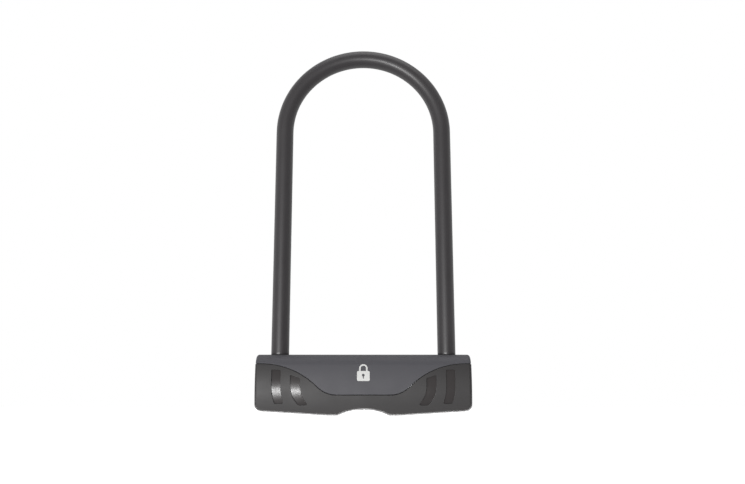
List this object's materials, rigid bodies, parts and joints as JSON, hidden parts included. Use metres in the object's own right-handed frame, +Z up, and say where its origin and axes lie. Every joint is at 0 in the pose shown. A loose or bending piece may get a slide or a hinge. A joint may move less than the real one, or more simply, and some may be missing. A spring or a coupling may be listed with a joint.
{
  "type": "bicycle u lock",
  "caption": "Bicycle U lock: a vinyl-coated steel shackle in a covered crossbar, locked by two cam-driven bolts from a keyed pin-tumbler cylinder.",
  "frame": {"origin": "midway between the two lands beside the arch in the crossbar's underside, at the level that the lock stands on", "axes": "+X along the crossbar to the right, -Y is the front with the padlock figure, +Z up along the legs, the way the shackle pulls out"},
  "size_m": [0.154, 0.0361, 0.2831],
  "materials": {
    "hardened_steel": "hardened alloy steel, ground, satin",
    "zinc_plated_steel": "clear zinc plating",
    "spring_steel": "drawn spring wire",
    "nickel_silver": "turned nickel silver",
    "die_cast_zinc": null,
    "brass": "turned and broached",
    "vinyl_coat": "dark grey vinyl, low sheen",
    "satin_plastic": "bluish grey moulded plastic, satin",
    "soft_touch": "dark grey soft-touch moulding, fine grain",
    "gloss_black": "polished black plastic",
    "black_nylon": "black nylon, fine texture",
    "black_rubber": "moulded rubber",
    "white_print": "white moulded inlay, satin"
  },
  "bodies": {
    "crossbar": {"crossbar_tube": "hardened_steel", "upper_cover": "satin_plastic", "lower_cover": "soft_touch", "grip_inlays_front": "gloss_black", "grip_inlays_rear": "gloss_black", "padlock_mark": "white_print", "end_plug_left": "hardened_steel", "end_plug_right": "hardened_steel", "cross_pins": "hardened_steel", "leg_bushing_left": "black_nylon", "leg_bushing_right": "black_nylon", "leg_seat_left": "black_rubber", "leg_seat_right": "black_rubber", "core_front": "die_cast_zinc", "core_rear": "die_cast_zinc", "core_screws": "zinc_plated_steel", "cover_screws": "zinc_plated_steel", "cylinder_housing": "brass", "chamber_cap": "brass", "keyway_frame": "black_nylon", "pin_spring_1": "spring_steel", "pin_spring_2": "spring_steel", "pin_spring_3": "spring_steel", "pin_spring_4": "spring_steel", "pin_spring_5": "spring_steel"},
    "shackle": {"shackle_bar": "hardened_steel", "shackle_sleeve": "vinyl_coat"},
    "plug": {"plug": "brass", "drill_guard": "hardened_steel", "cam": "zinc_plated_steel", "cam_screw": "zinc_plated_steel"},
    "bolt_left": {"bolt_left": "hardened_steel", "drive_pin_left": "hardened_steel"},
    "bolt_right": {"bolt_right": "hardened_steel", "drive_pin_right": "hardened_steel"},
    "key_cover": {"key_cover": "black_nylon"},
    "key_pin_1": {"key_pin_1": "brass"},
    "driver_pin_1": {"driver_pin_1": "nickel_silver"},
    "key_pin_2": {"key_pin_2": "brass"},
    "driver_pin_2": {"driver_pin_2": "nickel_silver"},
    "key_pin_3": {"key_pin_3": "brass"},
    "driver_pin_3": {"driver_pin_3": "nickel_silver"},
    "key_pin_4": {"key_pin_4": "brass"},
    "driver_pin_4": {"driver_pin_4": "nickel_silver"},
    "key_pin_5": {"key_pin_5": "brass"},
    "driver_pin_5": {"driver_pin_5": "nickel_silver"}
  },
  "joints": [
    {"name": "shackle_slide", "type": "slide", "parent": "crossbar", "child": "shackle", "axis": [0, 0, 1], "range_m": [0, 0.075]},
    {"name": "plug_turn", "type": "hinge", "parent": "crossbar", "child": "plug", "pos_m": [0, 0, 0.0164], "axis": [0, 0, 1], "range_deg": [0, 90]},
    {"name": "bolt_left_slide", "type": "slide", "parent": "crossbar", "child": "bolt_left", "axis": [-1, 0, 0], "range_m": [0, 0.0042]},
    {"name": "bolt_right_slide", "type": "slide", "parent": "crossbar", "child": "bolt_right", "axis": [1, 0, 0], "range_m": [0, 0.0042]},
    {"name": "key_cover_slide", "type": "slide", "parent": "crossbar", "child": "key_cover", "axis": [1, 0, 0], "range_m": [0, 0.0096]},
    {"name": "key_pin_1_slide", "type": "slide", "parent": "plug", "child": "key_pin_1", "axis": [-1, 0, 0], "range_m": [0, 0.001]},
    {"name": "key_pin_2_slide", "type": "slide", "parent": "plug", "child": "key_pin_2", "axis": [-1, 0, 0], "range_m": [0, 0.001]},
    {"name": "key_pin_3_slide", "type": "slide", "parent": "plug", "child": "key_pin_3", "axis": [-1, 0, 0], "range_m": [0, 0.001]},
    {"name": "key_pin_4_slide", "type": "slide", "parent": "plug", "child": "key_pin_4", "axis": [-1, 0, 0], "range_m": [0, 0.001]},
    {"name": "key_pin_5_slide", "type": "slide", "parent": "plug", "child": "key_pin_5", "axis": [-1, 0, 0], "range_m": [0, 0.001]},
    {"name": "driver_pin_1_slide", "type": "slide", "parent": "crossbar", "child": "driver_pin_1", "axis": [1, 0, 0], "range_m": [0, 0.0015], "stiffness_N_per_m": 30, "springref_m": -0.002, "deforming": ["pin_spring_1"]},
    {"name": "driver_pin_2_slide", "type": "slide", "parent": "crossbar", "child": "driver_pin_2", "axis": [1, 0, 0], "range_m": [0, 0.0015], "stiffness_N_per_m": 30, "springref_m": -0.002, "deforming": ["pin_spring_2"]},
    {"name": "driver_pin_3_slide", "type": "slide", "parent": "crossbar", "child": "driver_pin_3", "axis": [1, 0, 0], "range_m": [0, 0.0015], "stiffness_N_per_m": 30, "springref_m": -0.002, "deforming": ["pin_spring_3"]},
    {"name": "driver_pin_4_slide", "type": "slide", "parent": "crossbar", "child": "driver_pin_4", "axis": [1, 0, 0], "range_m": [0, 0.0015], "stiffness_N_per_m": 30, "springref_m": -0.002, "deforming": ["pin_spring_4"]},
    {"name": "driver_pin_5_slide", "type": "slide", "parent": "crossbar", "child": "driver_pin_5", "axis": [1, 0, 0], "range_m": [0, 0.0015], "stiffness_N_per_m": 30, "springref_m": -0.002, "deforming": ["pin_spring_5"]}
  ],
  "couplings": [
    {"joint": "plug_turn", "follows": "bolt_left_slide", "rad_per_m": 373.99},
    {"joint": "bolt_right_slide", "follows": "bolt_left_slide", "ratio": 1}
  ]
}
